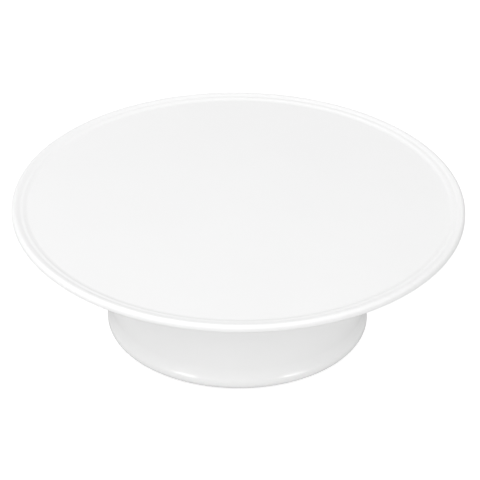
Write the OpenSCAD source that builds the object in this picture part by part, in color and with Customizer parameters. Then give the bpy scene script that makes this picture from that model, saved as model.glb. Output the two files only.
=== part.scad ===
// Low revolving cake turntable: a round plate with a raised rim that spins on a
// hollow drum base. The plate is carried by a wide ring of steel balls and is
// held down and centred by a steel spindle that runs in two plain bushes.
// Millimetres, +Z up, origin on the table under the middle of the base.

/* [Plate] */
// Outside diameter of the revolving plate
plate_d = 300; // [280:1:320]
// Height of the rim's crest above the table
total_h = 92; // [88:1:110]
// Height of the rim's edge, measured top to bottom
rim_h = 5.2; // [4.4:0.2:7]
// Depth of the flat working face below the rim's crest
recess = 1.6; // [0.8:0.2:2]
// Number of stiffening ribs under the plate
plate_ribs = 12; // [8:4:16]

/* [Base] */
// Outside diameter of the rounded foot of the base
foot_d = 174; // [168:1:190]
// Radius of the rounded foot
foot_r = 5; // [4:0.5:6]
// Radius of the hollow curve between the foot and the wall
cove_r = 21; // [16:1:26]
// Wall thickness of the moulded shells
wall = 2.8; // [2.4:0.1:3.2]
// Number of ribs under the base's deck
base_ribs = 8; // [8:8:16]

/* [Bearing] */
// Diameter of the circle that the ball centres run on
ball_circle_d = 120; // [116:1:122]
// Ball diameter
ball_d = 6; // [5:0.5:7]
// Number of balls
ball_count = 24; // [16:1:30]
// Spindle diameter
spindle_d = 12; // [10:0.5:12]

/* [Hidden] */
$fn = 96;
eps = 0.01;

// Plate: a flat face, a low ledge round it, and a raised crest with a round edge
plate_r = plate_d / 2;
edge_r = rim_h / 2;
under_z = total_h - rim_h;
face_z = total_h - recess;
ledge_z = face_z + recess / 2;
ledge_r = 0.941 * plate_r;
crest_r = 0.970 * plate_r;
step_w = 2.4;          // width of each of the two slopes inside the rim
rib_t = 2;
plate_rib_z = under_z - 3.5;
plate_rib_end_r = 0.925 * plate_r;
middle_ring_r = 108;

// Bearing levels, stacked from the plate's underside downwards
ball_r = ball_d / 2;
pitch_r = ball_circle_d / 2;
ball_z = under_z - 9.4;
race_gap = 2.8;        // between the two races' faces
race_h = 3;
race_half_w = 6;       // half the radial width of a race
groove_r = ball_r + 0.05;
ear_t = 1.5;
ear_step = 1;          // how far an ear is set back from its race's outer face
lower_race_z = ball_z - race_gap / 2 - race_h;
upper_race_z = ball_z + race_gap / 2;
lower_seat_z = lower_race_z + ear_step + ear_t;           // where its ears' screw heads sit
upper_seat_z = upper_race_z + race_h - ear_step - ear_t;
deck_z = lower_race_z + ear_step;
lower_ear_r = pitch_r - 9.5;
upper_ear_r = pitch_r + 9.5;
ear_r = 4.8;
lower_ear_turn = 22.5;
upper_ear_turn = 15;

// Base shell: its wall leans in a little towards the top, as a moulding's does
base_z = 1.5;
foot_overhang = 2;
foot_out_r = foot_d / 2;
wall_r = foot_out_r - foot_overhang;
foot_in_r = wall_r - wall + 0.2;
wall_top_r = wall_r - 0.6;
lip_z = plate_rib_z - 1.3;
deck_t = 3.5;
hub_r = 14;
hub_bottom_z = 34;
base_rib_z = deck_z - 18;
race_screw_boss_r = 4;
race_screw_boss_h = 10;  // from the deck's top face downwards

// The foot's circle and the cove's circle touch, so the outline has no corner
foot_c = [foot_out_r - foot_r, base_z + foot_r];
cove_rise = sqrt(foot_overhang * (2 * (foot_r + cove_r) - foot_overhang));
cove_c = [wall_r + cove_r, foot_c[1] + cove_rise];
foot_touch = foot_c + (cove_c - foot_c) * foot_r / (foot_r + cove_r);

// Spindle, bushes and what holds the plate down
spindle_r = spindle_d / 2;
bush_r = spindle_r + 3;
bush_flange_r = spindle_r + 6;
bush_flange_t = 2;
bush_len = 12;
bush_gap = 0.05;       // radial running clearance
flange_r = 22;
flange_t = 3;
flange_top_z = under_z - 3.2;
groove_w = 1.2;
clip_t = 1.1;
washer_t = 1.5;
washer_top_z = hub_bottom_z - bush_flange_t - 0.1;
clip_top_z = washer_top_z - washer_t - 0.2;
spindle_end_z = clip_top_z - clip_t - 3;

// Fasteners: pan-head screws that cut their own thread in the plastic
screw_r = 1.45;
head_r = 2.9;
head_h = 1.9;
lower_screw_len = 9;
upper_screw_len = 7;
foot_screw_len = 13;
hole_gap = 0.2;        // radial clearance round a screw in a part that it passes through
pilot_spare = 0.5;     // how much deeper a pilot hole is than its screw
spindle_screw_r = 1.9;
spindle_screw_len = 7;
spindle_head_r = 3.6;
spindle_head_h = 2.2;
spindle_screw_circle_r = 15;
upper_boss_r = 4.2;

// Feet
foot_h = 5.5;
foot_pad_r = 7.5;
foot_bevel = 0.5;
foot_circle_r = foot_out_r - 15;
foot_boss_r = 7;
foot_turn = 45;
foot_bore_h = 3.5;
foot_bore_r = 4.6;
foot_washer_r = 4.3;
foot_washer_t = 0.8;

// Skirt under the plate that keeps crumbs and icing out of the bearing
skirt_in_r = pitch_r + 14.6;
skirt_t = 1.9;
skirt_z = deck_z + 1.5;

function polar(r, a) = [r * cos(a), r * sin(a)];

// Repeats its children at four places a quarter turn apart
module four_around(r, turn) {
    for (i = [0:3])
        rotate(turn + i * 90) translate([r, 0, 0]) children();
}

module ring(r_out, r_in, z, h) {
    translate([0, 0, z]) difference() {
        cylinder(r = r_out, h = h);
        translate([0, 0, -1]) cylinder(r = r_in, h = h + 2);
    }
}

module radial_ribs(count, r_in, r_out, z, h) {
    for (i = [0:count - 1])
        rotate(i * 360 / count) translate([r_in, -rib_t / 2, z]) cube([r_out - r_in, rib_t, h]);
}

// Pan-head screw, head downwards, its seat at z = 0 and its shank upwards
module pan_screw(shank_r, shank_len, cap_r, cap_h) {
    slot = cap_r * 1.15;
    difference() {
        union() {
            cylinder(r = shank_r, h = shank_len, $fn = 32);
            translate([0, 0, -cap_h * 0.55]) cylinder(r = cap_r, h = cap_h * 0.55, $fn = 48);
            translate([0, 0, -cap_h])
                cylinder(r1 = cap_r * 0.72, r2 = cap_r, h = cap_h * 0.45 + eps, $fn = 48);
        }
        for (a = [0, 90])
            rotate(a) translate([-slot / 2, -cap_r * 0.12, -cap_h - 1])
                cube([slot, cap_r * 0.24, 1 + cap_h * 0.6]);
    }
}

// ---- base body ----

module foot_section() {
    difference() {
        union() {
            translate(foot_c) circle(r = foot_r);
            difference() {
                polygon([
                    foot_c, foot_touch, [foot_touch[0], cove_c[1]],
                    [foot_c[0] - wall, cove_c[1]], [foot_c[0] - wall, foot_c[1]]
                ]);
                translate(cove_c) circle(r = cove_r);
            }
        }
        // the hollow inside, which widens a little towards the foot
        polygon([
            [foot_c[0] - 2 * foot_r, 0], [foot_in_r, 0],
            [wall_r - wall, cove_c[1]], [foot_c[0] - 2 * foot_r, cove_c[1]]
        ]);
    }
}

module wall_section() {
    lip_r = wall / 2;
    polygon([
        [wall_r - wall, cove_c[1] - eps], [wall_r, cove_c[1] - eps],
        [wall_top_r, lip_z - lip_r], [wall_top_r - wall, lip_z - lip_r]
    ]);
    translate([wall_top_r - lip_r, lip_z - lip_r]) circle(r = lip_r);
}

module base_shell() {
    web_len = wall_r - wall / 2 - foot_circle_r;
    color("whitesmoke") difference() {
        union() {
            rotate_extrude() {
                foot_section();
                wall_section();
                translate([hub_r - 1, deck_z - deck_t])
                    square([wall_top_r - wall / 2 - hub_r + 1, deck_t]);
            }
            translate([0, 0, hub_bottom_z]) cylinder(r = hub_r, h = deck_z - hub_bottom_z);
            radial_ribs(base_ribs, hub_r - 1, wall_top_r - wall / 2, base_rib_z,
                        deck_z - deck_t - base_rib_z + eps);
            // pillars that the feet are screwed to, each with a web to the wall
            four_around(foot_circle_r, foot_turn) {
                translate([0, 0, foot_h]) cylinder(r = foot_boss_r, h = deck_z - deck_t - foot_h + eps);
                translate([0, -rib_t / 2, cove_c[1]])
                    cube([web_len, rib_t, deck_z - deck_t - cove_c[1] + eps]);
            }
            four_around(lower_ear_r, lower_ear_turn)
                translate([0, 0, deck_z - race_screw_boss_h])
                    cylinder(r = race_screw_boss_r, h = race_screw_boss_h - deck_t + eps);
        }
        // through bore for the bushes
        translate([0, 0, hub_bottom_z - 1]) cylinder(r = bush_r, h = deck_z - hub_bottom_z + 2);
        // seat that centres the lower race
        ring(pitch_r + race_half_w + 0.1, pitch_r - race_half_w - 0.1, lower_race_z, ear_step + 1);
        four_around(lower_ear_r, lower_ear_turn)
            translate([0, 0, lower_seat_z - lower_screw_len - pilot_spare])
                cylinder(r = screw_r, h = lower_screw_len + 2, $fn = 32);
        four_around(foot_circle_r, foot_turn)
            translate([0, 0, foot_bore_h])
                cylinder(r = screw_r, h = foot_screw_len + pilot_spare, $fn = 32);
    }
}

// A race ring with its groove open towards +Z and four ears with screw holes
module race(ear_circle_r, ear_turn) {
    inward = sign(pitch_r - ear_circle_r);
    tongue = abs(pitch_r - ear_circle_r) - race_half_w + 1;
    difference() {
        union() {
            rotate_extrude() difference() {
                translate([pitch_r - race_half_w, 0]) square([2 * race_half_w, race_h]);
                translate([pitch_r, race_h + race_gap / 2]) circle(r = groove_r);
            }
            four_around(ear_circle_r, ear_turn) {
                translate([0, 0, ear_step]) cylinder(r = ear_r, h = ear_t);
                translate([min(0, inward * tongue), -ear_r, ear_step])
                    cube([tongue, 2 * ear_r, ear_t]);
            }
        }
        four_around(ear_circle_r, ear_turn)
            translate([0, 0, -1]) cylinder(r = screw_r + hole_gap, h = race_h + 2, $fn = 32);
    }
}

module lower_race() {
    color("silver") translate([0, 0, lower_race_z]) race(lower_ear_r, lower_ear_turn);
}

module lower_race_screws() {
    color("gainsboro") four_around(lower_ear_r, lower_ear_turn)
        translate([0, 0, lower_seat_z]) rotate([180, 0, 0])
            pan_screw(screw_r, lower_screw_len, head_r, head_h);
}

// Flanged plain bush with its flange at z = 0 upwards to bush_flange_t
module bush() {
    difference() {
        union() {
            cylinder(r = bush_flange_r, h = bush_flange_t);
            translate([0, 0, -bush_len]) cylinder(r = bush_r, h = bush_len + eps);
        }
        translate([0, 0, -bush_len - 1])
            cylinder(r = spindle_r + bush_gap, h = bush_len + bush_flange_t + 2);
    }
}

module upper_bush() {
    color("ivory") translate([0, 0, deck_z]) bush();
}

module lower_bush() {
    color("ivory") translate([0, 0, hub_bottom_z]) mirror([0, 0, 1]) bush();
}

module rubber_foot(index) {
    color("dimgray") rotate(foot_turn + index * 90) translate([foot_circle_r, 0, 0])
        difference() {
            union() {
                cylinder(r1 = foot_pad_r - foot_bevel, r2 = foot_pad_r, h = 1);
                translate([0, 0, 1 - eps]) cylinder(r = foot_pad_r, h = foot_h - 1 + eps);
            }
            translate([0, 0, -1]) cylinder(r = foot_bore_r, h = foot_bore_h + 1);
            translate([0, 0, -1]) cylinder(r = screw_r + hole_gap, h = foot_h + 2, $fn = 32);
        }
}

module foot_washers() {
    color("silver") four_around(foot_circle_r, foot_turn)
        ring(foot_washer_r, screw_r + hole_gap, foot_bore_h - foot_washer_t, foot_washer_t);
}

module foot_screws() {
    color("gainsboro") four_around(foot_circle_r, foot_turn)
        translate([0, 0, foot_bore_h - foot_washer_t])
            pan_screw(screw_r, foot_screw_len, head_r, head_h);
}

// ---- plate body ----

module plate_section() {
    polygon([
        [0, under_z], [0, face_z],
        [ledge_r - step_w / 2, face_z], [ledge_r + step_w / 2, ledge_z],
        [crest_r - step_w / 2, ledge_z], [crest_r + step_w / 2, total_h],
        [plate_r - edge_r, total_h], [plate_r - edge_r, under_z]
    ]);
    translate([plate_r - edge_r, under_z + edge_r]) circle(r = edge_r);
    translate([skirt_in_r, skirt_z]) square([skirt_t, under_z - skirt_z + eps]);
    // two ring walls that the upper race seats on
    for (r = [pitch_r - race_half_w + 0.5, pitch_r + race_half_w - 2.5])
        translate([r, upper_race_z + race_h]) square([2, under_z - upper_race_z - race_h + eps]);
    translate([middle_ring_r, plate_rib_z]) square([rib_t, under_z - plate_rib_z + eps]);
    // boss that the spindle's flange is screwed to
    translate([0, flange_top_z]) square([flange_r + 2, under_z - flange_top_z + eps]);
}

module turntable_plate() {
    color("white") difference() {
        union() {
            rotate_extrude() plate_section();
            radial_ribs(plate_ribs, flange_r + 1, plate_rib_end_r, plate_rib_z,
                        under_z - plate_rib_z + eps);
            four_around(upper_ear_r, upper_ear_turn)
                translate([0, 0, upper_race_z + race_h - ear_step])
                    cylinder(r = upper_boss_r, h = under_z - upper_race_z - race_h + ear_step + eps);
        }
        // room for the upper race between its four screw bosses
        ring(pitch_r + race_half_w + 0.1, pitch_r - race_half_w - 0.1, upper_race_z, race_h);
        four_around(upper_ear_r, upper_ear_turn)
            translate([0, 0, upper_seat_z])
                cylinder(r = screw_r, h = upper_screw_len + pilot_spare, $fn = 32);
        four_around(spindle_screw_circle_r, upper_ear_turn)
            translate([0, 0, flange_top_z - flange_t])
                cylinder(r = spindle_screw_r, h = spindle_screw_len + pilot_spare, $fn = 32);
    }
}

module spindle() {
    shaft_len = flange_top_z - spindle_end_z;
    color("lightgray") difference() {
        union() {
            translate([0, 0, flange_top_z - flange_t]) cylinder(r = flange_r, h = flange_t);
            translate([0, 0, spindle_end_z + 1]) cylinder(r = spindle_r, h = shaft_len - 1);
            translate([0, 0, spindle_end_z]) cylinder(r1 = spindle_r - 1, r2 = spindle_r, h = 1 + eps);
        }
        ring(spindle_r + 1, spindle_r - 1, clip_top_z - clip_t - 0.05, groove_w);
        four_around(spindle_screw_circle_r, upper_ear_turn)
            translate([0, 0, flange_top_z - flange_t - 1])
                cylinder(r = spindle_screw_r + hole_gap, h = flange_t + 2, $fn = 32);
    }
}

module spindle_screws() {
    color("gainsboro") four_around(spindle_screw_circle_r, upper_ear_turn)
        translate([0, 0, flange_top_z - flange_t])
            pan_screw(spindle_screw_r, spindle_screw_len, spindle_head_r, spindle_head_h);
}

module upper_race() {
    color("silver") translate([0, 0, 2 * ball_z]) mirror([0, 0, 1])
        translate([0, 0, lower_race_z]) race(upper_ear_r, upper_ear_turn);
}

module upper_race_screws() {
    color("gainsboro") four_around(upper_ear_r, upper_ear_turn)
        translate([0, 0, upper_seat_z])
            pan_screw(screw_r, upper_screw_len, head_r, head_h);
}

module thrust_washer() {
    color("silver") ring(spindle_r + 5, spindle_r + 0.15, washer_top_z - washer_t, washer_t);
}

// Open ring that snaps into the spindle's groove: three lobes and a mouth at one side
module retaining_clip() {
    seat_r = spindle_r - 1 + 0.05;
    color("dimgray") translate([0, 0, clip_top_z - clip_t]) difference() {
        cylinder(r = spindle_r + 3.5, h = clip_t);
        translate([0, 0, -1]) cylinder(r = seat_r, h = clip_t + 2);
        translate([0, -seat_r * 0.8, -1]) cube([spindle_r + 5, seat_r * 1.6, clip_t + 2]);
        for (a = [110, 250])
            rotate(a) translate([seat_r + 0.4, 0, -1]) cylinder(r = 1.5, h = clip_t + 2, $fn = 32);
    }
}

// ---- cage body ----

module ball_cage() {
    cage_t = 2;
    color("khaki") difference() {
        ring(pitch_r + 4.8, pitch_r - 4.8, ball_z - cage_t / 2, cage_t);
        for (i = [0:ball_count - 1])
            translate(concat(polar(pitch_r, i * 360 / ball_count), ball_z - cage_t))
                cylinder(r = ball_r + 0.12, h = 2 * cage_t, $fn = 48);
    }
}

module bearing_balls() {
    color("lightsteelblue") for (i = [0:ball_count - 1])
        translate(concat(polar(pitch_r, i * 360 / ball_count), ball_z)) sphere(r = ball_r - 0.02, $fn = 48);
}

base_shell();
lower_race();
lower_race_screws();
upper_bush();
lower_bush();
rubber_foot(0);  // rubber_foot_1
rubber_foot(1);  // rubber_foot_2
rubber_foot(2);  // rubber_foot_3
rubber_foot(3);  // rubber_foot_4
foot_washers();
foot_screws();
turntable_plate();
spindle();
spindle_screws();
upper_race();
upper_race_screws();
thrust_washer();
retaining_clip();
ball_cage();
bearing_balls();
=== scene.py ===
# %% [markdown]
# # A cake turntable: a lesson in turned shapes and moulded plastic
#
# The object is a white plate that revolves on a drum. Almost every piece of it is round, so almost
# every piece is drawn as half of its cross-section and spun about the upright axis. The lesson
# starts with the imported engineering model, which fixes every size and every moving part. The pieces
# made here only give that model its finished surfaces.

# %% Load the engineering model
import math

import bmesh
import bpy
from mathutils import Matrix, Vector


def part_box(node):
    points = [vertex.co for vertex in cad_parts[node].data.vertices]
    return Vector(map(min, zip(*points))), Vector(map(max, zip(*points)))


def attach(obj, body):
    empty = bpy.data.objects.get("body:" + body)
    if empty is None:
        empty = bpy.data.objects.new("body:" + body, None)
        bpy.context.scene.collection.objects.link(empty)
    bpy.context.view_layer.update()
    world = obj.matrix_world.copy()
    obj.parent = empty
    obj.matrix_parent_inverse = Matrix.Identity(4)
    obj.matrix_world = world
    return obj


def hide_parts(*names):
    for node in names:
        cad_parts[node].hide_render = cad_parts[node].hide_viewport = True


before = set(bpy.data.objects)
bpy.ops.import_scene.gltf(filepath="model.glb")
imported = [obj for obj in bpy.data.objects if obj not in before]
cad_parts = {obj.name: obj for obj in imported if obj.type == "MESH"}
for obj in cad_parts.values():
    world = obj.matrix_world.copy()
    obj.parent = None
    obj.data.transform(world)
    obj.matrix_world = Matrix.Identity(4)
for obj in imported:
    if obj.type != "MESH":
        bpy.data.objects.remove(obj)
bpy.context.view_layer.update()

# %% [markdown]
# ## Reading sizes from the model
#
# The lesson thinks in millimetres, because that is how a mould is drawn, and Blender works in
# metres. One value turns the first into the second. The outside radius and the lowest and highest
# point of each part come from the model's own boxes, so nothing here has to be fitted by hand.

# %% Millimetres, and the size of each part
MM = 0.001


def size_of(node):
    """Outside radius, lowest and highest point of a round part, in millimetres."""
    low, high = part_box(node)
    return (high[0] - low[0]) / 2 / MM, low[2] / MM, high[2] / MM


plate_r, _, plate_top = size_of("turntable_plate")
foot_r, base_low, base_top = size_of("base_shell")
print(f"plate radius {plate_r:.2f}, top at {plate_top:.2f}, base radius {foot_r:.2f} mm")

# %% [markdown]
# ## The studio: camera
#
# A low stand like this is best seen from well above and through a long lens: the round plate stays
# an even ellipse, and both the plate and the drum under it show. The camera looks at the middle of
# the plate from a distance of about nine plate widths. The sensor shift, rather than a turn of the
# camera, puts the object a little above the middle of the picture.

# %% Make the camera
CAMERA_DISTANCE = 2.684
CAMERA_HEIGHT_ANGLE = math.radians(31.2)
CAMERA_ROLL = math.radians(0.566)
CAMERA_LENS = 304.6
CAMERA_SHIFT = (0.0032, -0.0764)

plate_centre = Vector((0, 0, plate_top * MM))
camera = bpy.data.objects.new("camera", bpy.data.cameras.new("camera"))
bpy.context.scene.collection.objects.link(camera)
bpy.context.scene.camera = camera
back = Vector((0, -math.cos(CAMERA_HEIGHT_ANGLE), math.sin(CAMERA_HEIGHT_ANGLE)))
camera.location = plate_centre + back * CAMERA_DISTANCE
look = (-back).to_track_quat("-Z", "Y").to_matrix()
camera.rotation_euler = (look @ Matrix.Rotation(CAMERA_ROLL, 3, "Z")).to_euler()
camera.data.lens = CAMERA_LENS
camera.data.shift_x, camera.data.shift_y = CAMERA_SHIFT
camera.data.clip_start, camera.data.clip_end = 0.05, 20
print("camera at", tuple(round(c, 3) for c in camera.location))

# %% [markdown]
# ## The studio: floor and light
#
# A white object on a white table needs light from everywhere, or its shaded side turns grey. A
# white world is the cheapest large soft light there is. On its own it is too even: it leaves no
# shape in the drum. So a wide box overhead lights the plate, and a large one high in front lights
# the drum's lower half, while the plate keeps it off the upper half. A box at each side rounds the
# drum, the left one a little more. Two low boxes draw a short bright line each on the drum's rounded
# foot. So low a light would also pick out every step of the plate's rim, so they are linked to the
# drum alone once it is made, as flags would do in a studio. A wide, weaker box in front is linked
# to the plate alone, and keeps the rim's edge bright.
#
# The table glows, as a lit acrylic table does, and the camera sees more of that glow than the
# object does. That keeps the table and the air behind it clean white in the picture, and still
# lets the drum pick up the darker, shaded table under the plate. Light Path's camera output tells
# the two apart.

# %% How bright the studio is, and what it is made with
FLOOR_SIZE = 8
WORLD_LIGHT = 0.55
WORLD_SEEN = 1.0
FLOOR_TONE = 0.50
FLOOR_GLOW = 0.18
FLOOR_GLOW_SEEN = 0.75


def show_brighter(tree, strength, to_object, to_camera):
    """Gives a strength one value for the light on the object and another for what is seen."""
    seen = tree.nodes.new("ShaderNodeLightPath").outputs["Is Camera Ray"]
    chosen = tree.nodes.new("ShaderNodeMapRange")
    chosen.inputs["To Min"].default_value = to_object
    chosen.inputs["To Max"].default_value = to_camera
    tree.links.new(seen, chosen.inputs["Value"])
    tree.links.new(chosen.outputs["Result"], strength)


def lit_table():
    """The pale table's material: matt white with a little light of its own."""
    material = bpy.data.materials.new("studio_table")
    material.use_nodes = True
    shader = material.node_tree.nodes["Principled BSDF"]
    shader.inputs["Base Color"].default_value = (FLOOR_TONE, FLOOR_TONE, FLOOR_TONE, 1)
    shader.inputs["Roughness"].default_value = 0.9
    shader.inputs["Specular IOR Level"].default_value = 0.0
    shader.inputs["Emission Color"].default_value = (1, 1, 1, 1)
    glow = shader.inputs["Emission Strength"]
    show_brighter(material.node_tree, glow, FLOOR_GLOW, FLOOR_GLOW_SEEN)
    return material


def soft_box(name, azimuth, elevation, distance, width, height, power):
    """A rectangular area light, turned to face the object. Azimuth 0 is the camera's side."""
    data = bpy.data.lights.new(name, "AREA")
    data.shape = "RECTANGLE"
    data.size, data.size_y = width, height
    data.energy = power
    light = bpy.data.objects.new(name, data)
    side, up = math.radians(azimuth), math.radians(elevation)
    away = Vector((math.sin(side) * math.cos(up), -math.cos(side) * math.cos(up), math.sin(up)))
    light.location = away * distance
    light.rotation_euler = away.to_track_quat("Z", "Y").to_euler()
    bpy.context.scene.collection.objects.link(light)
    return light

# %% Lay the floor and light the air
table = bmesh.new()
bmesh.ops.create_grid(table, x_segments=1, y_segments=1, size=FLOOR_SIZE / 2)
floor = bpy.data.objects.new("studio_floor", bpy.data.meshes.new("studio_floor"))
table.to_mesh(floor.data)
table.free()
floor.data.materials.append(lit_table())
bpy.context.scene.collection.objects.link(floor)

world = bpy.data.worlds.new("studio_world")
bpy.context.scene.world = world
world.use_nodes = True
world.node_tree.nodes["Background"].inputs["Color"].default_value = (1, 1, 1, 1)
show_brighter(world.node_tree, world.node_tree.nodes["Background"].inputs["Strength"],
              WORLD_LIGHT, WORLD_SEEN)
bpy.context.scene.view_settings.view_transform = "Standard"
print("floor:", FLOOR_SIZE, "m wide")

# %% Hang the lights
# Azimuth and elevation in degrees, distance, width and height in metres, power in watts.
soft_box("overhead", -75, 65, 2.7, 1.8, 1.8, 19.3)
soft_box("high_front", -12, 42, 2.7, 2.6, 1.8, 16)
soft_box("left_side", -78, 28, 2.5, 2.0, 1.4, 11)
soft_box("right_side", 55, 26, 2.5, 2.0, 1.4, 11)
rim_box = soft_box("rim_front", 0, 14, 2.6, 2.4, 0.6, 5.5)
low_boxes = [
    soft_box("low_left", -43, 6, 2.2, 0.75, 0.30, 4.8),
    soft_box("low_right", 46, 6, 2.2, 0.75, 0.30, 4.6),
]

# %% [markdown]
# ## A lathe made of two operators
#
# A turned or moulded round piece is drawn as a wire: the corners of half its cross-section, each a
# radius, a height and how far the rounding eats into the straights beside it. Bevel rounds the wire's
# corners into arcs, and spin sweeps the wire once round the axis. Drawing the wire first is better
# than rounding the solid afterwards, because every corner can have its own radius. Long straights
# get an extra point near each end, so that the shading turns only where the surface does.

# %% Draw a wire and spin it
AROUND = 256
ARC_STEPS = 8
GRIP = 0.35
SHORTEST_GRIPPED = 5 * GRIP
MERGE_DISTANCE = 1e-6
SMOOTH_ANGLE = math.radians(32)


def wire_profile(corners, closed):
    """A bmesh wire in the XZ plane through corners of (radius, height, rounding) in millimetres."""
    bm = bmesh.new()
    points = [bm.verts.new((r * MM, 0, z * MM)) for r, z, _ in corners]
    ends = zip(points, points[1:] + points[:1]) if closed else zip(points, points[1:])
    for start, end in ends:
        bm.edges.new((start, end))
    for point, (_, _, rounding) in zip(points, corners):
        if rounding:
            bmesh.ops.bevel(
                bm, geom=[point], offset=rounding * MM, offset_type="OFFSET", segments=ARC_STEPS,
                profile=0.5, affect="VERTICES", material=-1,
            )
    return bm


def add_grips(bm):
    """Adds a point near both ends of every long straight of a wire."""
    for edge in list(bm.edges):
        length = edge.calc_length()
        if length < SHORTEST_GRIPPED * MM:
            continue
        start, end = edge.verts
        near_start = bmesh.utils.edge_split(edge, start, GRIP * MM / length)[1]
        rest = next(e for e in near_start.link_edges if end in e.verts)
        bmesh.utils.edge_split(rest, end, GRIP * MM / rest.calc_length())


def turn(corners, closed=False, around=AROUND):
    """Spins a profile once round the Z axis into a closed solid."""
    bm = wire_profile(corners, closed)
    add_grips(bm)
    bmesh.ops.spin(
        bm, geom=bm.verts[:] + bm.edges[:], cent=(0, 0, 0), axis=(0, 0, 1),
        angle=2 * math.pi, steps=around, use_merge=True,
    )
    bmesh.ops.remove_doubles(bm, verts=bm.verts, dist=MERGE_DISTANCE)
    bmesh.ops.recalc_face_normals(bm, faces=bm.faces)
    return bm

# %% Finish a piece, combine it with another and report on it
def as_object(bm, name):
    """Turns a finished bmesh into a linked object with smooth faces and crisp edges."""
    mesh = bpy.data.meshes.new(name)
    bm.to_mesh(mesh)
    bm.free()
    mesh.shade_smooth()
    mesh.set_sharp_from_angle(angle=SMOOTH_ANGLE)
    piece = bpy.data.objects.new(name, mesh)
    bpy.context.scene.collection.objects.link(piece)
    return piece


def combine(piece, tool, operation):
    """Adds tool to piece, or cuts it away, with one solid boolean, and removes the tool."""
    modifier = piece.modifiers.new("combine", "BOOLEAN")
    modifier.operation = operation
    modifier.solver = "MANIFOLD"
    modifier.object = tool
    graph = bpy.context.evaluated_depsgraph_get()
    shape = bpy.data.meshes.new_from_object(piece.evaluated_get(graph))
    piece.modifiers.clear()
    piece.data = shape
    piece.data.set_sharp_from_angle(angle=SMOOTH_ANGLE)
    bpy.data.objects.remove(tool)


def report(piece):
    """Prints a piece's face count and how many of its edges are open."""
    bm = bmesh.new()
    bm.from_mesh(piece.data)
    open_edges = sum(not edge.is_manifold for edge in bm.edges)
    print(f"{piece.name}: {len(bm.faces)} faces, {open_edges} open edges")
    bm.free()

# %% [markdown]
# ## What a lathe can't make
#
# Ribs, posts, ears and screw holes stand off the axis, spaced round it. Each is a cube or a cylinder
# from an operator, put at its radius and angle. All the solids of one kind share a bmesh, so that
# one boolean adds them or cuts them away. Within one bmesh they must not overlap, or the boolean
# can't tell inside from outside.

# %% Angles, places, blocks and posts
def angles_round(count, first=0.0):
    """Angles of count things spaced evenly round the axis, the first one given in degrees."""
    return [math.radians(first) + index * math.tau / count for index in range(count)]


def places_round(radius, angles):
    """The (x, y) places, in millimetres, at a radius and those angles."""
    return [(radius * math.cos(angle), radius * math.sin(angle)) for angle in angles]


def radial_blocks(angles, inner, outer, low, high, width, softening=0.0):
    """A block along the radius at each angle, its edges softened by that many millimetres."""
    blocks = bmesh.new()
    size = Vector((outer - inner, width, high - low)) * MM
    middle = Vector(((outer + inner) / 2, 0, (low + high) / 2)) * MM
    for angle in angles:
        block = bmesh.ops.create_cube(blocks, size=1)["verts"]
        turned = Matrix.Rotation(angle, 3, "Z")
        bmesh.ops.scale(blocks, verts=block, vec=size)
        bmesh.ops.translate(blocks, verts=block, vec=middle)
        bmesh.ops.rotate(blocks, verts=block, cent=(0, 0, 0), matrix=turned)
        if softening:
            edges = list({edge for vert in block for edge in vert.link_edges})
            bmesh.ops.bevel(
                blocks, geom=edges, offset=softening * MM, offset_type="OFFSET", segments=3,
                profile=0.5, affect="EDGES", material=-1,
            )
    return blocks


def posts(places, radius, low, high, tool=None, around=48):
    """Adds upright round posts at places, each an (x, y) in millimetres, to a bmesh."""
    tool = tool or bmesh.new()
    for x, y in places:
        bmesh.ops.create_cone(
            tool, cap_ends=True, segments=around, radius1=radius * MM, radius2=radius * MM,
            depth=(high - low) * MM, matrix=Matrix.Translation(Vector((x, y, (low + high) / 2)) * MM),
        )
    return tool

# %% [markdown]
# ## The plate
#
# The plate is one moulding. Its face is flat and ends in two low steps that lead up to the rim's
# crest, and the rim's edge is fully round, so that a palette knife or a hand meets no corner. Under
# it are ring walls for the bearing, a skirt that keeps crumbs out, a stiffening ring and radial
# ribs. It could be a disc with a torus for its edge, but one spun outline gives every step its own
# radius and leaves no seam. Only the ribs, the screw bosses and the screw holes are not part of the
# outline: they are solids of their own, added or cut away with booleans.

# %% Plate sizes
RIM_HEIGHT = 5.2
FACE_RECESS = 1.6
STEP_WIDTH = 2.4
RIB_WIDTH = 2.0
RIB_DEPTH = 3.5
RIB_SOFTENING = 0.4
PLATE_RIBS = 12
PLATE_BOSS_R = 4.2
SKIRT_OFFSET, SKIRT_WIDTH, SKIRT_GAP = 14.6, 1.9, 1.5
LEDGE_SHARE, CREST_SHARE, RIB_SHARE = 0.941, 0.970, 0.925
print(f"rim {RIM_HEIGHT} mm high, face {FACE_RECESS} mm below its crest")

# %% Bearing and screw sizes that the plate and the drum share
RACE_HALF_WIDTH = 6.0
RACE_ROOM = RACE_HALF_WIDTH + 0.1
SEAT_WALL_NEAR, SEAT_WALL_FAR = 3.5, 5.5
EAR_OFFSET = 9.5
CAGE_HALF_WIDTH = 4.8
BUSH_FLANGE = 2.0
SPINDLE_SCREW_CIRCLE_R = 15
RACE_SCREW_R, RACE_SCREW_REACH = 1.45, 5
SPINDLE_SCREW_R, SPINDLE_SCREW_REACH = 1.9, 4.5

cage_r, cage_low, cage_high = size_of("ball_cage")
pitch_r = cage_r - CAGE_HALF_WIDTH
ball_z = (cage_low + cage_high) / 2
upper_race_top = size_of("upper_race")[2]
deck_z = size_of("upper_bush")[2] - BUSH_FLANGE
under_z = plate_top - RIM_HEIGHT
face_z = plate_top - FACE_RECESS
ledge_z = plate_top - FACE_RECESS / 2
ledge_r = LEDGE_SHARE * plate_r
crest_r = CREST_SHARE * plate_r
middle_ring_r = 108.0
skirt_r = pitch_r + SKIRT_OFFSET
flange_r, _, flange_top = size_of("spindle")
print(f"pitch radius {pitch_r:.2f}, deck at {deck_z:.2f}, plate underside at {under_z:.2f} mm")


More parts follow.
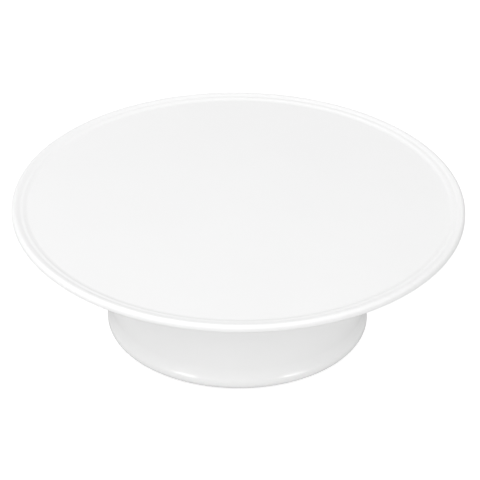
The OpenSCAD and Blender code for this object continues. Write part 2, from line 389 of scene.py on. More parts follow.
# %% Draw the plate's outline
def wall_down(inner, outer, bottom, root, tip=0.45):
    """Corners of a ring wall that hangs from the plate's underside, from the outside in."""
    return [
        (outer, under_z, root), (outer, bottom, tip), (inner, bottom, tip), (inner, under_z, root),
    ]


# The rim's edge is a half round, a little fuller at its lower corner.
edge_round = RIM_HEIGHT / 2 - 0.02
lower_edge_round = 0.6 * edge_round
half_step = STEP_WIDTH / 2
plate_corners = [
    (0, face_z, 0),
    (ledge_r - half_step, face_z, 1.1), (ledge_r + half_step, ledge_z, 0.6),
    (crest_r - half_step, ledge_z, 0.6), (crest_r + half_step, plate_top, 1.0),
    (plate_r, plate_top, edge_round), (plate_r, under_z, lower_edge_round),
    *wall_down(middle_ring_r, middle_ring_r + RIB_WIDTH, under_z - RIB_DEPTH, 0.8),
    *wall_down(skirt_r, skirt_r + SKIRT_WIDTH, deck_z + SKIRT_GAP, 0.8),
    *wall_down(pitch_r + SEAT_WALL_NEAR, pitch_r + SEAT_WALL_FAR, upper_race_top, 0.5, 0.2),
    *wall_down(pitch_r - SEAT_WALL_FAR, pitch_r - SEAT_WALL_NEAR, upper_race_top, 0.5, 0.2),
    (flange_r + 2, under_z, 0.8), (flange_r + 2, flange_top, 0.4), (0, flange_top, 0),
]
print("corners in the plate's outline:", len(plate_corners))

# %% Make the plate
plate = as_object(turn(plate_corners), "plate")
plate_ribs = radial_blocks(
    angles_round(PLATE_RIBS), flange_r + 1, RIB_SHARE * plate_r, under_z - RIB_DEPTH, under_z + 1,
    RIB_WIDTH, RIB_SOFTENING,
)
combine(plate, as_object(plate_ribs, "plate_ribs"), "UNION")
upper_ear_angles = angles_round(4, 15)
upper_ears = places_round(pitch_r + EAR_OFFSET, upper_ear_angles)
spindle_screw_places = places_round(SPINDLE_SCREW_CIRCLE_R, upper_ear_angles)
bosses = posts(upper_ears, PLATE_BOSS_R, upper_race_top - 1, under_z + 1)
combine(plate, as_object(bosses, "bosses"), "UNION")
race_room = turn(
    [
        (pitch_r - RACE_ROOM, upper_race_top - 3, 0), (pitch_r + RACE_ROOM, upper_race_top - 3, 0),
        (pitch_r + RACE_ROOM, upper_race_top, 0), (pitch_r - RACE_ROOM, upper_race_top, 0),
    ],
    closed=True, around=96,
)
combine(plate, as_object(race_room, "race_room"), "DIFFERENCE")
plate_holes = posts(
    upper_ears, RACE_SCREW_R, upper_race_top - 3, upper_race_top + RACE_SCREW_REACH, around=32
)
posts(
    spindle_screw_places, SPINDLE_SCREW_R, flange_top - 1, flange_top + SPINDLE_SCREW_REACH,
    plate_holes, around=32,
)
combine(plate, as_object(plate_holes, "plate_holes"), "DIFFERENCE")
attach(plate, "turntable")
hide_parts("turntable_plate")
report(plate)

# %% [markdown]
# ## The drum
#
# The base is an upside-down cup: a wall that leans in a little, as every moulding must to leave its
# mould, a deck for the bearing, and a hub for the bushes. At the bottom the wall sweeps out through
# a hollow curve into a rounded foot. The two arcs have to meet without a corner, so the corner
# points of the wire are worked out from the arcs' radii: each rounding then ends where the next
# begins.

# %% Drum sizes and its outline
FOOT_ROUND = 5.0
COVE_ROUND = 21.0
FOOT_OVERHANG = 2.0
WALL = 2.8
DECK = 3.5
HUB_R = 14.0
DRAFT = 0.6

wall_r = foot_r - FOOT_OVERHANG
wall_top_r = wall_r - DRAFT
under_deck_z = deck_z - DECK
hub_low = size_of("lower_bush")[1] + BUSH_FLANGE
bush_r = 9.0
seat_z = size_of("lower_race")[1]
foot_low_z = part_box("rubber_foot_1")[0][2] / MM
foot_top_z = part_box("rubber_foot_1")[1][2] / MM

lean = math.acos(1 - FOOT_OVERHANG / (FOOT_ROUND + COVE_ROUND))
half_lean = math.tan(lean / 2)
foot_turn_z = base_low + FOOT_ROUND + FOOT_ROUND * half_lean
cove_turn_z = foot_turn_z + (FOOT_ROUND + COVE_ROUND) * half_lean * math.cos(lean)
print(f"foot leans {math.degrees(lean):.1f} degrees, cove ends near {cove_turn_z:.1f} mm")

drum_corners = [
    (wall_r - WALL + 0.2, base_low, 0.3),
    (foot_r, base_low, 4.2),
    (foot_r, foot_turn_z, FOOT_ROUND * half_lean * 0.99),
    (wall_r, cove_turn_z, COVE_ROUND * half_lean * 0.99),
    (wall_top_r, base_top, WALL * 0.45), (wall_top_r - WALL, base_top, WALL * 0.45),
    (wall_top_r - WALL, deck_z, 0.8),
    (pitch_r + RACE_ROOM, deck_z, 0.2), (pitch_r + RACE_ROOM, seat_z, 0.1),
    (pitch_r - RACE_ROOM, seat_z, 0.1), (pitch_r - RACE_ROOM, deck_z, 0.2),
    (bush_r, deck_z, 0.3), (bush_r, hub_low, 0.3), (HUB_R, hub_low, 0.6),
    (HUB_R, under_deck_z, 1.5), (wall_top_r - WALL + 0.05, under_deck_z, 1.5),
]

# %% Make the drum
BASE_RIBS, BASE_RIB_DROP = 8, 18
FEET_INSET = 15
PILLAR_R = 7
DRUM_BOSS_R = 4
DECK_HOLE_DEPTH, FOOT_HOLE_DEPTH = 9.5, 13

feet_circle_r = foot_r - FEET_INSET
feet_angles = angles_round(4, 45)
feet_places = places_round(feet_circle_r, feet_angles)
lower_ear_angles = angles_round(4, 22.5)
lower_ears = places_round(pitch_r - EAR_OFFSET, lower_ear_angles)

drum = as_object(turn(drum_corners, closed=True), "drum")
drum_ribs = radial_blocks(
    angles_round(BASE_RIBS), HUB_R - 1, wall_top_r - WALL / 2, deck_z - BASE_RIB_DROP,
    under_deck_z + 1, RIB_WIDTH, RIB_SOFTENING,
)
combine(drum, as_object(drum_ribs, "drum_ribs"), "UNION")
pillars = posts(feet_places, PILLAR_R, foot_top_z, under_deck_z + 1)
posts(lower_ears, DRUM_BOSS_R, deck_z - 10, under_deck_z + 1, pillars)
combine(drum, as_object(pillars, "pillars"), "UNION")
webs = radial_blocks(
    feet_angles, feet_circle_r, wall_r - WALL / 2, base_low + FOOT_ROUND + 10, under_deck_z + 1,
    RIB_WIDTH,
)
combine(drum, as_object(webs, "webs"), "UNION")
pilot_holes = posts(lower_ears, RACE_SCREW_R, deck_z - DECK_HOLE_DEPTH, deck_z + 1, around=32)
posts(
    feet_places, RACE_SCREW_R, foot_top_z - 1, foot_top_z + FOOT_HOLE_DEPTH, pilot_holes, around=32
)
combine(drum, as_object(pilot_holes, "pilot_holes"), "DIFFERENCE")
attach(drum, "base")
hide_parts("base_shell")
report(drum)

# %% Link the low lights to the piece that each is for
for lit, lights in ((drum, low_boxes), (plate, [rim_box])):
    receivers = bpy.data.collections.new(f"lights_for_the_{lit.name}")
    receivers.objects.link(lit)
    for light in lights:
        light.light_linking.receiver_collection = receivers
    print(lit.name, "alone is lit by", ", ".join(light.name for light in lights))

# %% [markdown]
# ## What the underside shows: bushes, spindle, washer and clip
#
# Turned upside down, the drum shows the end of the steel spindle in its lower bush, with a washer
# and a spring clip that keep the plate from lifting off. The bushes, the spindle and the washer are
# plain lathe work, so they are spun like the drum, with the small chamfers that a machinist breaks
# every edge with. The spindle's end keeps the little cone of its centre drill.

# %% Turn the bushes
BUSH_FLANGE_R, BUSH_LENGTH = 12.0, 12.0
BUSH_BORE = 6.05


def bush(name, seat, into):
    """A flanged bush: its flange rests on seat and its body goes in the direction into, 1 or -1."""
    end, face = seat + into * BUSH_LENGTH, seat - into * BUSH_FLANGE
    return as_object(turn(
        [
            (BUSH_BORE, end, 0.35), (bush_r, end, 0.5), (bush_r, seat, 0.1),
            (BUSH_FLANGE_R, seat, 0.25), (BUSH_FLANGE_R, face, 0.5), (BUSH_BORE, face, 0.4),
        ],
        closed=True, around=128,
    ), name)


upper_bush = bush("upper_bush_piece", deck_z, -1)
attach(upper_bush, "base")
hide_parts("upper_bush")
report(upper_bush)

lower_bush = bush("lower_bush_piece", hub_low, 1)
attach(lower_bush, "base")
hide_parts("lower_bush")
report(lower_bush)

# %% Turn the spindle and its washer
SPINDLE_R = 6.0
SPINDLE_FLANGE = 3.0
END_CHAMFER = 0.9
CLIP_GAP = 0.05
FLANGE_HOLE_R = 2.1
WASHER_GAP = 0.15

spindle_end = size_of("spindle")[1]
_, clip_low, clip_high = size_of("retaining_clip")
flange_low = flange_top - SPINDLE_FLANGE
spindle = as_object(turn(
    [
        (0, spindle_end + 1.6, 0), (1.3, spindle_end, 0.1),
        (SPINDLE_R - END_CHAMFER, spindle_end, 0.15), (SPINDLE_R, spindle_end + END_CHAMFER, 0.15),
        (SPINDLE_R, clip_low - CLIP_GAP, 0.08), (SPINDLE_R - 1, clip_low - CLIP_GAP, 0.08),
        (SPINDLE_R - 1, clip_high + CLIP_GAP, 0.08), (SPINDLE_R, clip_high + CLIP_GAP, 0.08),
        (SPINDLE_R, flange_low, 0.5),
        (flange_r, flange_low, 0.35), (flange_r, flange_top, 0.35), (0, flange_top, 0),
    ],
    around=128,
), "spindle_piece")
flange_holes = posts(spindle_screw_places, FLANGE_HOLE_R, flange_low - 1, flange_top + 1, around=32)
combine(spindle, as_object(flange_holes, "flange_holes"), "DIFFERENCE")
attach(spindle, "turntable")
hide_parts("spindle")
report(spindle)

washer_r, washer_low, washer_high = size_of("thrust_washer")
washer = as_object(turn(
    [
        (SPINDLE_R + WASHER_GAP, washer_low, 0.1), (washer_r, washer_low, 0.3),
        (washer_r, washer_high, 0.15), (SPINDLE_R + WASHER_GAP, washer_high, 0.1),
    ],
    closed=True, around=96,
), "thrust_washer_piece")
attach(washer, "turntable")
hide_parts("thrust_washer")
report(washer)

# %% [markdown]
# ## The spring clip
#
# The clip is stamped from spring steel: a ring with a mouth to push it on by, and two hollows that
# leave three lobes gripping the groove. It could be drawn as an outline and extruded, but starting
# from a spun ring keeps the rounded edges of a stamping, and three cuts then give the mouth and
# the hollows.

# %% Cut the clip from a ring
CLIP_R = 9.5
CLIP_SEAT = 5.05
MOUTH_LENGTH, MOUTH_WIDTH, MOUTH_HEIGHT = 12, CLIP_SEAT * 1.6, 4
HOLLOW_R = 1.5

clip = as_object(turn(
    [
        (CLIP_SEAT, clip_low, 0.1), (CLIP_R, clip_low, 0.25), (CLIP_R, clip_high, 0.1),
        (CLIP_SEAT, clip_high, 0.1),
    ],
    closed=True, around=96,
), "retaining_clip_piece")
mouth = bmesh.new()
bmesh.ops.create_cube(mouth, size=1)
mouth_size = Vector((MOUTH_LENGTH, MOUTH_WIDTH, MOUTH_HEIGHT)) * MM
mouth_middle = Vector((MOUTH_LENGTH / 2, 0, (clip_low + clip_high) / 2)) * MM
bmesh.ops.scale(mouth, verts=mouth.verts, vec=mouth_size)
bmesh.ops.translate(mouth, verts=mouth.verts, vec=mouth_middle)
combine(clip, as_object(mouth, "mouth"), "DIFFERENCE")
hollow_places = places_round(CLIP_SEAT + 0.4, [math.radians(110), math.radians(250)])
hollows = posts(hollow_places, HOLLOW_R, clip_low - 1, clip_high + 1)
combine(clip, as_object(hollows, "hollows"), "DIFFERENCE")
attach(clip, "turntable")
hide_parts("retaining_clip")
report(clip)

# %% [markdown]
# ## The rubber feet
#
# Each foot is a moulded rubber button with a deep hollow for its screw. Its sole has two fine ridges,
# which a plain cylinder would lack and which are what grips a worktop. Each foot is spun at the
# origin and then moved to its corner in its own mesh, so the object itself stays at the origin.

# %% Mould four feet
FOOT_HOLLOW_R = 4.6
SCREW_HOLE_R = 1.65
SOLE_RIDGE = 0.25

foot_places = [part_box(f"rubber_foot_{number}") for number in (1, 2, 3, 4)]
foot_pad_r = (foot_places[0][1][0] - foot_places[0][0][0]) / 2 / MM
hollow_top = size_of("foot_washers")[2]
sole_z = foot_low_z + SOLE_RIDGE
foot_corners = [
    (FOOT_HOLLOW_R, sole_z, 0.15),
    (5.1, sole_z, 0.1), (5.2, foot_low_z, 0.1), (5.7, foot_low_z, 0.1), (5.8, sole_z, 0.1),
    (6.2, sole_z, 0.1), (6.3, foot_low_z, 0.1), (6.9, foot_low_z, 0.15),
    (foot_pad_r, foot_low_z + 1.2, 0.6), (foot_pad_r, foot_top_z, 0.4),
    (SCREW_HOLE_R, foot_top_z, 0.1), (SCREW_HOLE_R, hollow_top, 0.1),
    (FOOT_HOLLOW_R, hollow_top, 0.3),
]
feet = []
for number, (low, high) in enumerate(foot_places, start=1):
    button = turn(foot_corners, closed=True, around=72)
    middle = Vector(((low[0] + high[0]) / 2, (low[1] + high[1]) / 2, 0))
    bmesh.ops.translate(button, verts=button.verts, vec=middle)
    foot = as_object(button, f"rubber_foot_{number}_piece")
    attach(foot, "base")
    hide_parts(f"rubber_foot_{number}")
    feet.append(foot)
report(feet[0])

# %% [markdown]
# ## Screws and washers
#
# Every fastener is a pan-head screw for plastic. The head and the core are spun. The thread is the
# one place where a spin climbs: a small triangle is swept round the core while it rises by one
# pitch a turn. A cross recess is then cut into the head with two bars. A flat disc with a dark
# cross painted on would pass from far away, but the recess is what catches the light up close.

# %% A thread and a cross recess
THREAD_PITCH = 1.1
THREAD_STEPS = 24
THREAD_HEIGHT, THREAD_SINK = 0.5, 0.1
CORE_SHARE = 0.74
RECESS_LENGTH_SHARE, RECESS_WIDTH_SHARE = 1.15, 0.26
HEAD_TURN = 0.7


def thread(core, crest, first, last):
    """A helical ridge round the Z axis between two heights, in millimetres."""
    low, high = sorted((first, last))
    ridge = bmesh.new()
    lower_root = ridge.verts.new(Vector((core - THREAD_SINK, 0, low)) * MM)
    tip = ridge.verts.new(Vector((crest, 0, low + THREAD_HEIGHT / 2)) * MM)
    upper_root = ridge.verts.new(Vector((core - THREAD_SINK, 0, low + THREAD_HEIGHT)) * MM)
    ridge.faces.new((lower_root, tip, upper_root))
    climb = high - low - THREAD_HEIGHT
    turns = climb / THREAD_PITCH
    steps = round(turns * THREAD_STEPS)
    bmesh.ops.spin(
        ridge, geom=ridge.faces[:], cent=(0, 0, 0), axis=(0, 0, 1),
        dvec=(0, 0, climb * MM / steps), angle=turns * math.tau, steps=steps,
    )
    bmesh.ops.recalc_face_normals(ridge, faces=ridge.faces)
    return ridge


def recess_bar(head, depth_from, depth_to, turned):
    """One bar of a cross recess, through the middle of a head of that radius."""
    bar = bmesh.new()
    bmesh.ops.create_cube(bar, size=1)
    low, high = sorted((depth_from, depth_to))
    size = Vector((head * RECESS_LENGTH_SHARE, head * RECESS_WIDTH_SHARE, high - low))
    bmesh.ops.scale(bar, verts=bar.verts, vec=size * MM)
    bmesh.ops.translate(bar, verts=bar.verts, vec=(0, 0, (low + high) / 2 * MM))
    if turned:
        quarter = Matrix.Rotation(math.pi / 2, 3, "Z")
        bmesh.ops.rotate(bar, verts=bar.verts, cent=(0, 0, 0), matrix=quarter)
    return bar

# %% Four screws of one kind
def screw_set(name, places, seat, tip, top, crest, head):
    """Four pan-head screws: seat is under the head, tip the shank's end, top the head's top.

    crest is the thread's radius and head the head's. Each head is turned a little further.
    """
    way = 1 if tip > seat else -1
    core = crest * CORE_SHARE
    shape = as_object(turn(
        [
            (0, top, 0), (head * 0.62, top, 0.3), (head, seat - way * 0.9, 0.7),
            (head, seat, 0.12), (core, seat, 0.1), (core, tip - way * 1.0, 0.1),
            (0.35, tip, 0.1), (0, tip, 0),
        ],
        around=48,
    ), name)
    thread_ridge = thread(core, crest, seat + way * 0.4, tip - way * 0.6)
    combine(shape, as_object(thread_ridge, "thread"), "UNION")
    recess_floor = seat - way * 0.55
    for turned in (False, True):
        recess = recess_bar(head, top - way, recess_floor, turned)
        combine(shape, as_object(recess, "recess"), "DIFFERENCE")
    group = bmesh.new()
    for index, (x, y) in enumerate(places):
        one = shape.data.copy()
        turned = Matrix.Rotation(HEAD_TURN * index, 4, "Z")
        one.transform(Matrix.Translation(Vector((x, y, 0)) * MM) @ turned)
        group.from_mesh(one)
        bpy.data.meshes.remove(one)
    bpy.data.objects.remove(shape)
    return as_object(group, name)

# %% Make the four sets of screws
HEAD_R, SPINDLE_HEAD_R = 2.9, 3.6
HEAD_HEIGHT, SPINDLE_HEAD_HEIGHT = 1.9, 2.2

foot_bottom, foot_tip = size_of("foot_screws")[1:]
foot_seat = size_of("foot_washers")[1]
foot_screws = screw_set(
    "foot_screws_piece", feet_places, foot_seat, foot_tip, foot_bottom, RACE_SCREW_R, HEAD_R
)
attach(foot_screws, "base")
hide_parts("foot_screws")
report(foot_screws)

lower_tip, lower_head = size_of("lower_race_screws")[1:]
lower_screws = screw_set(
    "lower_race_screws_piece", lower_ears, lower_head - HEAD_HEIGHT, lower_tip, lower_head,
    RACE_SCREW_R, HEAD_R,
)
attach(lower_screws, "base")
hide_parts("lower_race_screws")
report(lower_screws)

upper_head, upper_tip = size_of("upper_race_screws")[1:]
upper_screws = screw_set(
    "upper_race_screws_piece", upper_ears, upper_head + HEAD_HEIGHT, upper_tip, upper_head,
    RACE_SCREW_R, HEAD_R,
)
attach(upper_screws, "turntable")
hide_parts("upper_race_screws")
report(upper_screws)

spindle_head, spindle_tip = size_of("spindle_screws")[1:]
spindle_screws = screw_set(
    "spindle_screws_piece", spindle_screw_places, spindle_head + SPINDLE_HEAD_HEIGHT, spindle_tip,
    spindle_head, SPINDLE_SCREW_R, SPINDLE_HEAD_R,
)
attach(spindle_screws, "turntable")
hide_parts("spindle_screws")
report(spindle_screws)

# %% Press the four foot washers
FOOT_WASHER_R = 4.3

washers = bmesh.new()
for x, y in feet_places:
    ring = turn(
        [
            (SCREW_HOLE_R, foot_seat, 0.1), (FOOT_WASHER_R, foot_seat, 0.2),
            (FOOT_WASHER_R, hollow_top, 0.1), (SCREW_HOLE_R, hollow_top, 0.1),
        ],
        closed=True, around=64,
    )
    bmesh.ops.translate(ring, verts=ring.verts, vec=Vector((x, y, 0)) * MM)
    one = bpy.data.meshes.new("washer")
    ring.to_mesh(one)
    ring.free()
    washers.from_mesh(one)
    bpy.data.meshes.remove(one)
foot_washers = as_object(washers, "foot_washers_piece")
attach(foot_washers, "base")
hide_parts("foot_washers")
report(foot_washers)

# %% [markdown]
# ## The ball bearing
#
# The plate's weight rests on a ring of steel balls between two ground races, and a nylon cage
# keeps the balls apart. A race is a ring with a groove that is an arc a little wider than a ball, so
# the arc's points are worked out from the two radii. Its ears are posts and short tongues joined to
# the ring. A coarse ring would cut into the balls as it turns, so the races are spun as finely as
# the plate.

# %% How a race is made
BALLS = 24
BALL_R = 2.98
GROOVE_R = 3.05
GROOVE_STEPS = 14
EAR_R, EAR_STEP, EAR_THICKNESS = 4.8, 1.0, 1.5


def race(name, back, face, ear_radius, ear_angles):
    """A grooved ring between the heights back and face, with an ear at each of the angles."""
    toward_balls = 1 if face > back else -1
    start = math.asin(abs(ball_z - face) / GROOVE_R)
    sweep = math.pi - 2 * start
    arc_angles = [start + sweep * step / GROOVE_STEPS for step in range(GROOVE_STEPS + 1)]
    groove = [
        (pitch_r + GROOVE_R * math.cos(a), ball_z - toward_balls * GROOVE_R * math.sin(a), 0)
        for a in arc_angles
    ]
    inner, outer = pitch_r - RACE_HALF_WIDTH, pitch_r + RACE_HALF_WIDTH
    ring = as_object(turn(
        [(outer, back, 0.3), (outer, face, 0.3), *groove, (inner, face, 0.3), (inner, back, 0.3)],
        closed=True,
    ), name)
    ear_heights = [back + toward_balls * EAR_STEP, back + toward_balls * (EAR_STEP + EAR_THICKNESS)]
    low, high = min(ear_heights), max(ear_heights)
    ears = places_round(ear_radius, ear_angles)
    combine(ring, as_object(posts(ears, EAR_R, low, high), "ears"), "UNION")
    inward = 1 if ear_radius < pitch_r else -1
    tongue_length = abs(pitch_r - ear_radius) - RACE_HALF_WIDTH + 1
    tongue_ends = sorted((ear_radius, ear_radius + inward * tongue_length))
    tongues = radial_blocks(ear_angles, *tongue_ends, low, high, 2 * EAR_R)
    combine(ring, as_object(tongues, "tongues"), "UNION")
    holes = posts(ears, SCREW_HOLE_R, low - 1, high + 1)
    combine(ring, as_object(holes, "holes"), "DIFFERENCE")
    return ring

# %% Make both races
lower_back, lower_face = size_of("lower_race")[1:]
lower_race = race(
    "lower_race_piece", lower_back, lower_face, pitch_r - EAR_OFFSET, lower_ear_angles
)
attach(lower_race, "base")
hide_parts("lower_race")
report(lower_race)

upper_face, upper_back = size_of("upper_race")[1:]
upper_race = race(
    "upper_race_piece", upper_back, upper_face, pitch_r + EAR_OFFSET, upper_ear_angles
)
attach(upper_race, "turntable")
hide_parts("upper_race")
report(upper_race)

# %% Make the cage and the balls
POCKET_GAP = 0.14

ball_places = places_round(pitch_r, angles_round(BALLS))
cage_inner = pitch_r - CAGE_HALF_WIDTH
cage = as_object(turn(
    [
        (cage_inner, cage_low, 0.35), (cage_r, cage_low, 0.35),
        (cage_r, cage_high, 0.35), (cage_inner, cage_high, 0.35),
    ],
    closed=True, around=192,
), "ball_cage_piece")
pockets = posts(ball_places, BALL_R + POCKET_GAP, cage_low - 1, cage_high + 1)
combine(cage, as_object(pockets, "pockets"), "DIFFERENCE")
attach(cage, "cage")
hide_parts("ball_cage")
report(cage)

ball_set = bmesh.new()
for x, y in ball_places:
    bmesh.ops.create_uvsphere(
        ball_set, u_segments=32, v_segments=16, radius=BALL_R * MM,
        matrix=Matrix.Translation(Vector((x, y, ball_z)) * MM),
    )
balls = as_object(ball_set, "bearing_balls_piece")
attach(balls, "cage")
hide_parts("bearing_balls")
report(balls)

# %% [markdown]
# ## Finishes: helpers for node trees
#
# Every finish is made of nodes that read Object coordinates, so it stays on the piece however the
# piece turns. Effects that several finishes share are node groups. A group gives out only what
# changes over the surface: a colour, a roughness and a height. The shader itself stays in each
# material, where what is the same all over, such as the refraction, is set on its own sockets.

# %% Helpers that add a node
def place(tree, kind, wires, **settings):
    """Adds a node. wires maps its inputs to numbers, colours or another node's output."""
    made = tree.nodes.new(kind)
    for key, value in settings.items():
        setattr(made, key, value)
    for socket, value in wires.items():
        if isinstance(value, bpy.types.NodeSocket):
            tree.links.new(value, made.inputs[socket])
        else:
            made.inputs[socket].default_value = value
    return made


def maths(tree, operation, first, second=0.0, clamp=False):
    """One Math node, and its output."""
    return place(
        tree, "ShaderNodeMath", {0: first, 1: second}, operation=operation, use_clamp=clamp
    ).outputs[0]


def blend_colours(tree, amount, first, second):
    """Mixes two colours, and gives the mixed colour."""
    return place(
        tree, "ShaderNodeMix", {0: amount, 6: first, 7: second}, data_type="RGBA"
    ).outputs[2]


def band(tree, value, low, high, out_low=0.0, out_high=1.0):
    """Stretches a value from low..high to another range, and stops it at the ends."""
    return place(
        tree, "ShaderNodeMapRange", {0: value, 1: low, 2: high, 3: out_low, 4: out_high}
    ).outputs[0]


def noise(tree, where, scale, detail=2.0, roughness=0.5):
    """Noise at a scale in waves per metre."""
    return place(
        tree, "ShaderNodeTexNoise",
        {"Vector": where, "Scale": scale, "Detail": detail, "Roughness": roughness},
    ).outputs["Fac"]


def drawn_out(tree, where, length, width, angle):
    """Object coordinates stretched so that noise becomes lines of a length and width, in metres."""
    return place(
        tree, "ShaderNodeMapping",
        {"Vector": where, "Rotation": (0, 0, angle), "Scale": (length, width, length)},
        vector_type="TEXTURE",
    ).outputs[0]


def object_place(tree):
    """The piece's own coordinates, in metres."""
    return place(tree, "ShaderNodeTexCoord", {}).outputs["Object"]

# %% Helpers that open and close a group
def new_group(name, inputs):
    """A node group with the given inputs and the outputs Color, Roughness and Height."""
    group = bpy.data.node_groups.new(name, "ShaderNodeTree")
    for label, value in inputs.items():
        kind = "NodeSocketColor" if isinstance(value, tuple) else "NodeSocketFloat"
        group.interface.new_socket(label, in_out="INPUT", socket_type=kind).default_value = value
    for label, kind in (("Color", "Color"), ("Roughness", "Float"), ("Height", "Float")):
        group.interface.new_socket(label, in_out="OUTPUT", socket_type="NodeSocket" + kind)
    entry = group.nodes.new("NodeGroupInput")
    return group, entry.outputs


def close_group(group, colour, roughness, height):
    """Wires the group's three outputs."""
    exit_node = group.nodes.new("NodeGroupOutput")
    for label, value in (("Color", colour), ("Roughness", roughness), ("Height", height)):
        group.links.new(value, exit_node.inputs[label])

# %% [markdown]
# ## Moulded plastic
#
# A new white moulding looks plain, but not blank. The melt leaves a very faint cloudiness as it
# flows, the mould's polish is not quite even, and the skin has a fine orange peel. Use adds
# hair-thin scratches that run in several directions. All of it is weak: it must only break up the
# reflections, and the piece must still read as clean white.

# %% The moulded skin group
FLOW_WAVES, POLISH_WAVES, PEEL_WAVES = 16, 45, 380
HAIR_LENGTH, HAIR_EDGE = 0.11, 0.022
HAIR_RUNS = ((0.4, 0.0042), (1.5, 0.0035), (2.5, 0.0048))


def moulded_skin():
    """Group: faint flow clouds, uneven polish, orange peel and fine scratches."""
    group, given = new_group("moulded_skin", {
        "Tone": (0.9, 0.9, 0.9, 1), "Cloud": 0.02, "Polish": 0.2, "Uneven": 0.06,
        "Peel": 0.3, "Scratches": 0.3,
    })
    where = object_place(group)
    cloud = band(group, noise(group, where, FLOW_WAVES, 3), 0.3, 0.7)
    darker = place(
        group, "ShaderNodeHueSaturation", {"Color": given["Tone"], "Saturation": 1.0, "Value": 0.9}
    ).outputs[0]
    cloud_amount = maths(group, "MULTIPLY", cloud, given["Cloud"])
    colour = blend_colours(group, maths(group, "MULTIPLY", cloud_amount, 10.0), given["Tone"], darker)

    lines = None
    for angle, spacing in HAIR_RUNS:
        waves = noise(group, drawn_out(group, where, HAIR_LENGTH, spacing, angle), 1.0, 0)
        from_middle = maths(group, "ABSOLUTE", maths(group, "SUBTRACT", waves, 0.5))
        hair = band(group, from_middle, 0.0, HAIR_EDGE, 1.0, 0.0)
        gate = band(group, noise(group, where, 20 + 5 * angle, 1), 0.54, 0.66)
        hair = maths(group, "MULTIPLY", hair, gate)
        lines = hair if lines is None else maths(group, "MAXIMUM", lines, hair)
    scratches = maths(group, "MULTIPLY", lines, given["Scratches"])

    patch = maths(group, "SUBTRACT", noise(group, where, POLISH_WAVES, 3), 0.5)
    roughness = maths(group, "ADD", given["Polish"], maths(group, "MULTIPLY", patch, given["Uneven"]))
    roughness = maths(group, "ADD", roughness, maths(group, "MULTIPLY", scratches, 0.25), clamp=True)

    peel = maths(group, "MULTIPLY", noise(group, where, PEEL_WAVES, 2), given["Peel"])
    height = maths(group, "SUBTRACT", peel, maths(group, "MULTIPLY", scratches, 0.6))
    close_group(group, colour, roughness, height)
    return group

# %% [markdown]
# ## Metal that has been turned, ground or plated
#
# A lathe leaves rings round the axis, so the rings on the spindle, the races, the bushes and the
# thrust washer depend only on the distance from the axis and on the height. Plated screws have no
# rings. They have soft patches where the plating is thicker, in slightly warmer and cooler grey.

# %% The turned rings group
WEAR_WAVES = 160


def uneven_polish(group, given, first, second):
    """Roughness that swings about Polish, up and down with the sum of two patterns."""
    swing = maths(group, "SUBTRACT", maths(group, "ADD", first, second), 1.0)
    swing = maths(group, "MULTIPLY", swing, given["Uneven"])
    return maths(group, "ADD", given["Polish"], swing, clamp=True)


def turned_rings():
    """Group: fine rings round the Z axis, with patches of wear."""
    group, given = new_group("turned_rings", {
        "Tone": (0.6, 0.6, 0.62, 1), "Rings": 2600.0, "Polish": 0.3, "Uneven": 0.1, "Depth": 0.5,
    })
    where = object_place(group)
    across = place(group, "ShaderNodeSeparateXYZ", {0: where}).outputs
    flat = place(group, "ShaderNodeCombineXYZ", {0: across[0], 1: across[1], 2: 0.0}).outputs[0]
    radius = place(group, "ShaderNodeVectorMath", {0: flat}, operation="LENGTH").outputs["Value"]
    along = maths(group, "MULTIPLY", maths(group, "ADD", radius, across[2]), given["Rings"])
    one_way = place(group, "ShaderNodeCombineXYZ", {0: along, 1: 0.0, 2: 0.0}).outputs[0]
    rings = noise(group, one_way, 1.0, 3, 0.6)
    worn = band(group, noise(group, where, WEAR_WAVES, 4), 0.35, 0.7)
    darker = place(
        group, "ShaderNodeHueSaturation", {"Color": given["Tone"], "Saturation": 1.1, "Value": 0.72}
    ).outputs[0]
    mark = maths(group, "MULTIPLY", band(group, rings, 0.35, 0.7), 0.35)
    mark = maths(group, "ADD", mark, maths(group, "MULTIPLY", worn, 0.2))
    colour = blend_colours(group, mark, given["Tone"], darker)
    roughness = uneven_polish(group, given, rings, worn)
    height = maths(group, "MULTIPLY", rings, given["Depth"])
    close_group(group, colour, roughness, height)
    return group

# %% The plating group, and all three groups
PATCH_WAVES, GRAIN_WAVES = 520, 5200


def plated_patches():
    """Group: a thin plated or phosphated coat, uneven in tone and shine."""
    group, given = new_group("plated_patches", {
        "Tone": (0.7, 0.71, 0.73, 1), "Other": (0.72, 0.68, 0.6, 1), "Polish": 0.3,
        "Uneven": 0.15, "Depth": 0.3,
    })
    where = object_place(group)
    patches = band(group, noise(group, where, PATCH_WAVES, 4, 0.6), 0.35, 0.7)
    grain = noise(group, where, GRAIN_WAVES, 2)
    tint = maths(group, "MULTIPLY", patches, 0.6)
    colour = blend_colours(group, tint, given["Tone"], given["Other"])
    roughness = uneven_polish(group, given, patches, grain)
    height = maths(group, "MULTIPLY", grain, given["Depth"])
    close_group(group, colour, roughness, height)
    return group


skin, rings_group, plating = moulded_skin(), turned_rings(), plated_patches()
print("groups:", ", ".join(group.name for group in bpy.data.node_groups))

# %% [markdown]
# ## The materials
#
# Each material is one of the groups with its own values, feeding the shader's colour, roughness and,
# through a bump node, its normal. The plate and the drum share the plastic but not the polish: the
# face that a knife touches is a little duller and more scratched than the drum below it.

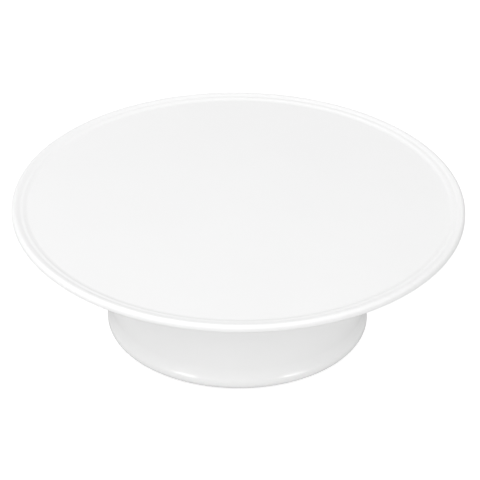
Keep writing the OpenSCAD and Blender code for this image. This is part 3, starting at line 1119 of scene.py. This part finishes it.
# %% Wire a group into a material
def finish_of(name, group, values, bump, shader_values):
    """A material: one group wired into the shader. bump is the real height of the relief, in metres."""
    material = bpy.data.materials.new(name)
    material.use_nodes = True
    tree = material.node_tree
    shader = tree.nodes["Principled BSDF"]
    surface = place(tree, "ShaderNodeGroup", values, node_tree=group)
    relief = place(
        tree, "ShaderNodeBump",
        {"Height": surface.outputs["Height"], "Distance": bump, "Strength": 1.0},
    )
    tree.links.new(surface.outputs["Color"], shader.inputs["Base Color"])
    tree.links.new(surface.outputs["Roughness"], shader.inputs["Roughness"])
    tree.links.new(relief.outputs["Normal"], shader.inputs["Normal"])
    for socket, value in shader_values.items():
        shader.inputs[socket].default_value = value
    return material

# %% Make every material
STEEL = {"Metallic": 1.0}
materials = {
    "white_plate": finish_of(
        "white_plate_plastic", skin,
        {"Tone": (0.905, 0.905, 0.905, 1), "Cloud": 0.010, "Polish": 0.35, "Uneven": 0.12,
         "Peel": 1.0, "Scratches": 0.30},
        0.000006, {"IOR": 1.49},
    ),
    "white_shell": finish_of(
        "white_drum_plastic", skin,
        {"Tone": (0.895, 0.895, 0.893, 1), "Cloud": 0.012, "Polish": 0.16, "Uneven": 0.10,
         "Peel": 1.0, "Scratches": 0.15},
        0.000006, {"IOR": 1.49},
    ),
    "acetal": finish_of(
        "natural_acetal", rings_group,
        {"Tone": (0.86, 0.85, 0.79, 1), "Rings": 2200.0, "Polish": 0.42, "Uneven": 0.12, "Depth": 0.6},
        0.000008, {"IOR": 1.48},
    ),
    "turned_steel": finish_of(
        "turned_steel", rings_group,
        {"Tone": (0.60, 0.61, 0.62, 1), "Rings": 3000.0, "Polish": 0.26, "Uneven": 0.16, "Depth": 0.6},
        0.000006, STEEL,
    ),
    "race_steel": finish_of(
        "ground_race_steel", rings_group,
        {"Tone": (0.66, 0.67, 0.68, 1), "Rings": 4200.0, "Polish": 0.20, "Uneven": 0.12, "Depth": 0.5},
        0.000004, STEEL,
    ),
    "zinc_screw": finish_of(
        "bright_zinc", plating,
        {"Tone": (0.70, 0.72, 0.75, 1), "Other": (0.74, 0.70, 0.60, 1), "Polish": 0.30,
         "Uneven": 0.16, "Depth": 0.4},
        0.000004, STEEL,
    ),
    "spring_steel": finish_of(
        "black_phosphate", plating,
        {"Tone": (0.055, 0.055, 0.060, 1), "Other": (0.16, 0.15, 0.14, 1), "Polish": 0.46,
         "Uneven": 0.18, "Depth": 0.6},
        0.000006, {"Metallic": 0.85},
    ),
    "ball_steel": finish_of(
        "polished_ball", plating,
        {"Tone": (0.78, 0.79, 0.80, 1), "Other": (0.72, 0.73, 0.75, 1), "Polish": 0.07,
         "Uneven": 0.05, "Depth": 0.1},
        0.000001, STEEL,
    ),
    "cage_nylon": finish_of(
        "natural_nylon", skin,
        {"Tone": (0.78, 0.75, 0.63, 1), "Cloud": 0.05, "Polish": 0.42, "Uneven": 0.12,
         "Peel": 1.0, "Scratches": 0.3},
        0.000010, {"IOR": 1.52},
    ),
    "foot_rubber": finish_of(
        "matt_rubber", plating,
        {"Tone": (0.035, 0.035, 0.036, 1), "Other": (0.075, 0.073, 0.070, 1), "Polish": 0.78,
         "Uneven": 0.14, "Depth": 1.0},
        0.000020, {"IOR": 1.5},
    ),
}
print("materials:", len(materials))

# %% [markdown]
# ## Dressing the pieces
#
# The pieces are sorted here by what they are made of, and every piece of one sort gets the same
# material. One table is easier to check than a line after each piece, and it prints how many
# pieces were dressed, so a forgotten one shows.

# %% Hand out the materials
pieces = {
    "white_plate": [plate], "white_shell": [drum], "acetal": [upper_bush, lower_bush],
    "turned_steel": [spindle, washer], "spring_steel": [clip], "foot_rubber": feet,
    "zinc_screw": [foot_screws, lower_screws, upper_screws, spindle_screws, foot_washers],
    "race_steel": [lower_race, upper_race], "cage_nylon": [cage], "ball_steel": [balls],
}
for finish, dressed in pieces.items():
    for piece in dressed:
        piece.data.materials.clear()
        piece.data.materials.append(materials[finish])
print("dressed:", sum(len(dressed) for dressed in pieces.values()), "pieces")
